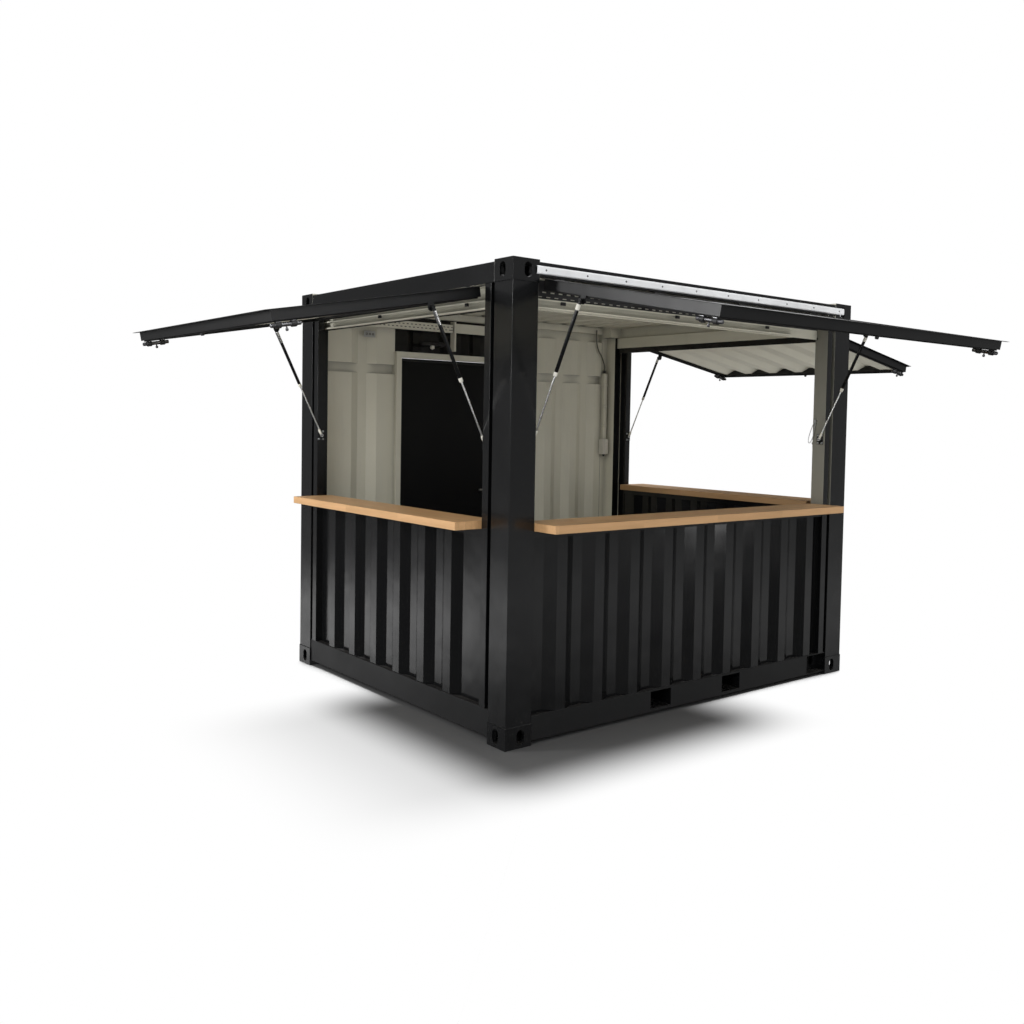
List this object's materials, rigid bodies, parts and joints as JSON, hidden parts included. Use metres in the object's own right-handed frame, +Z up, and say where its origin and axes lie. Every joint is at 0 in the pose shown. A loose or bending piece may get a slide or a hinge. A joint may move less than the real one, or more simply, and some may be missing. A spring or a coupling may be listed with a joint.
{
  "type": "street kiosk container",
  "caption": "Street kiosk built as a short container body with three top-hinged serving flaps on gas struts, timber counters and a back door.",
  "frame": {"origin": "centre of the footprint at ground level, midway between the four bottom corner fittings", "axes": "+Z up, X along the long sides, -Y towards the street front"},
  "size_m": [5.453, 3.7315, 2.591],
  "materials": {
    "black_paint": "semi-gloss",
    "plywood": "worn",
    "cream_paint": "satin",
    "zinc": "galvanised",
    "oak": "oiled",
    "rod_steel": "polished"
  },
  "bodies": {
    "body": {"corner_castings_bottom": "black_paint", "corner_castings_top": "black_paint", "corner_posts_front": "black_paint", "corner_posts_back": "black_paint", "top_side_rails": "black_paint", "end_headers": "black_paint", "bottom_side_rails": "black_paint", "bottom_end_rails": "black_paint", "floor_cross_members": "black_paint", "fork_pockets": "black_paint", "floor_deck": "plywood", "roof_panel": "black_paint", "front_wall": "black_paint", "left_wall": "black_paint", "right_wall": "black_paint", "hatch_jambs": "black_paint", "front_lintel": "black_paint", "end_lintels": "cream_paint", "service_channel": "cream_paint", "end_channels": "cream_paint", "back_wall_left": "black_paint", "back_wall_right": "black_paint", "back_wall_over_door": "black_paint", "door_frame": "cream_paint", "door_hinges": "zinc", "counter_front": "oak", "counter_left": "oak", "counter_right": "oak", "sill_rails": "black_paint", "hinge_cover_strip": "zinc", "flap_hinges": "black_paint", "strut_brackets": "black_paint", "wiring_trunk": "cream_paint", "socket_box": "cream_paint"},
    "flap_front": {"flap_frame_front": "black_paint", "flap_panel_front": "cream_paint", "flap_latches_front": "zinc"},
    "strut_rod_front_a": {"strut_rod_front_a": "rod_steel"},
    "strut_tube_front_a": {"strut_tube_front_a": "black_paint"},
    "strut_rod_front_b": {"strut_rod_front_b": "rod_steel"},
    "strut_tube_front_b": {"strut_tube_front_b": "black_paint"},
    "flap_left": {"flap_frame_left": "black_paint", "flap_panel_left": "cream_paint", "flap_latches_left": "zinc"},
    "strut_rod_left_a": {"strut_rod_left_a": "rod_steel"},
    "strut_tube_left_a": {"strut_tube_left_a": "black_paint"},
    "strut_rod_left_b": {"strut_rod_left_b": "rod_steel"},
    "strut_tube_left_b": {"strut_tube_left_b": "black_paint"},
    "flap_right": {"flap_frame_right": "black_paint", "flap_panel_right": "cream_paint", "flap_latches_right": "zinc"},
    "strut_rod_right_a": {"strut_rod_right_a": "rod_steel"},
    "strut_tube_right_a": {"strut_tube_right_a": "black_paint"},
    "strut_rod_right_b": {"strut_rod_right_b": "rod_steel"},
    "strut_tube_right_b": {"strut_tube_right_b": "black_paint"},
    "door": {"door_leaf": "black_paint", "door_handle": "zinc"}
  },
  "joints": [
    {"name": "flap_front_hinge", "type": "hinge", "parent": "body", "child": "flap_front", "pos_m": [0, -1.219, 2.494], "axis": [1, 0, 0], "range_deg": [0, 79.5]},
    {"name": "strut_front_a_pivot", "type": "hinge", "parent": "body", "child": "strut_rod_front_a", "pos_m": [-1.3065, -1.179, 1.65], "axis": [-1, 0, 0], "range_deg": [0, 31.23]},
    {"name": "strut_front_a_slide", "type": "slide", "parent": "strut_rod_front_a", "child": "strut_tube_front_a", "axis": [0, 0.4499, -0.8931], "range_m": [0, 0.27805]},
    {"name": "strut_front_b_pivot", "type": "hinge", "parent": "body", "child": "strut_rod_front_b", "pos_m": [1.2225, -1.179, 1.65], "axis": [-1, 0, 0], "range_deg": [0, 31.23]},
    {"name": "strut_front_b_slide", "type": "slide", "parent": "strut_rod_front_b", "child": "strut_tube_front_b", "axis": [0, 0.4499, -0.8931], "range_m": [0, 0.27805]},
    {"name": "flap_left_hinge", "type": "hinge", "parent": "body", "child": "flap_left", "pos_m": [-1.4955, 0, 2.46], "axis": [0, -1, 0], "range_deg": [0, 79.5]},
    {"name": "strut_left_a_pivot", "type": "hinge", "parent": "body", "child": "strut_rod_left_a", "pos_m": [-1.4675, 0.958, 1.616], "axis": [0, 1, 0], "range_deg": [0, 31.79]},
    {"name": "strut_left_a_slide", "type": "slide", "parent": "strut_rod_left_a", "child": "strut_tube_left_a", "axis": [0.4377, 0, -0.8991], "range_m": [0, 0.27164]},
    {"name": "strut_left_b_pivot", "type": "hinge", "parent": "body", "child": "strut_rod_left_b", "pos_m": [-1.4675, -0.958, 1.616], "axis": [0, 1, 0], "range_deg": [0, 31.79]},
    {"name": "strut_left_b_slide", "type": "slide", "parent": "strut_rod_left_b", "child": "strut_tube_left_b", "axis": [0.4377, 0, -0.8991], "range_m": [0, 0.27164]},
    {"name": "flap_right_hinge", "type": "hinge", "parent": "body", "child": "flap_right", "pos_m": [1.4955, 0, 2.46], "axis": [0, 1, 0], "range_deg": [0, 79.5]},
    {"name": "strut_right_a_pivot", "type": "hinge", "parent": "body", "child": "strut_rod_right_a", "pos_m": [1.4675, -0.958, 1.616], "axis": [0, -1, 0], "range_deg": [0, 31.79]},
    {"name": "strut_right_a_slide", "type": "slide", "parent": "strut_rod_right_a", "child": "strut_tube_right_a", "axis": [-0.4377, 0, -0.8991], "range_m": [0, 0.27164]},
    {"name": "strut_right_b_pivot", "type": "hinge", "parent": "body", "child": "strut_rod_right_b", "pos_m": [1.4675, 0.958, 1.616], "axis": [0, -1, 0], "range_deg": [0, 31.79]},
    {"name": "strut_right_b_slide", "type": "slide", "parent": "strut_rod_right_b", "child": "strut_tube_right_b", "axis": [-0.4377, 0, -0.8991], "range_m": [0, 0.27164]},
    {"name": "door_hinge", "type": "hinge", "parent": "body", "child": "door", "pos_m": [-0.724, 1.21, 1.2], "axis": [0, 0, 1], "range_deg": [0, 110]}
  ],
  "couplings": [
    {"joint": "strut_front_a_pivot", "follows": "flap_front_hinge", "ratio": 0.39285},
    {"joint": "strut_front_a_slide", "follows": "flap_front_hinge", "m_per_rad": 0.20039},
    {"joint": "strut_front_b_pivot", "follows": "flap_front_hinge", "ratio": 0.39285},
    {"joint": "strut_front_b_slide", "follows": "flap_front_hinge", "m_per_rad": 0.20039},
    {"joint": "strut_left_a_pivot", "follows": "flap_left_hinge", "ratio": 0.39984},
    {"joint": "strut_left_a_slide", "follows": "flap_left_hinge", "m_per_rad": 0.19577},
    {"joint": "strut_left_b_pivot", "follows": "flap_left_hinge", "ratio": 0.39984},
    {"joint": "strut_left_b_slide", "follows": "flap_left_hinge", "m_per_rad": 0.19577},
    {"joint": "strut_right_a_pivot", "follows": "flap_right_hinge", "ratio": 0.39984},
    {"joint": "strut_right_a_slide", "follows": "flap_right_hinge", "m_per_rad": 0.19577},
    {"joint": "strut_right_b_pivot", "follows": "flap_right_hinge", "ratio": 0.39984},
    {"joint": "strut_right_b_slide", "follows": "flap_right_hinge", "m_per_rad": 0.19577}
  ]
}
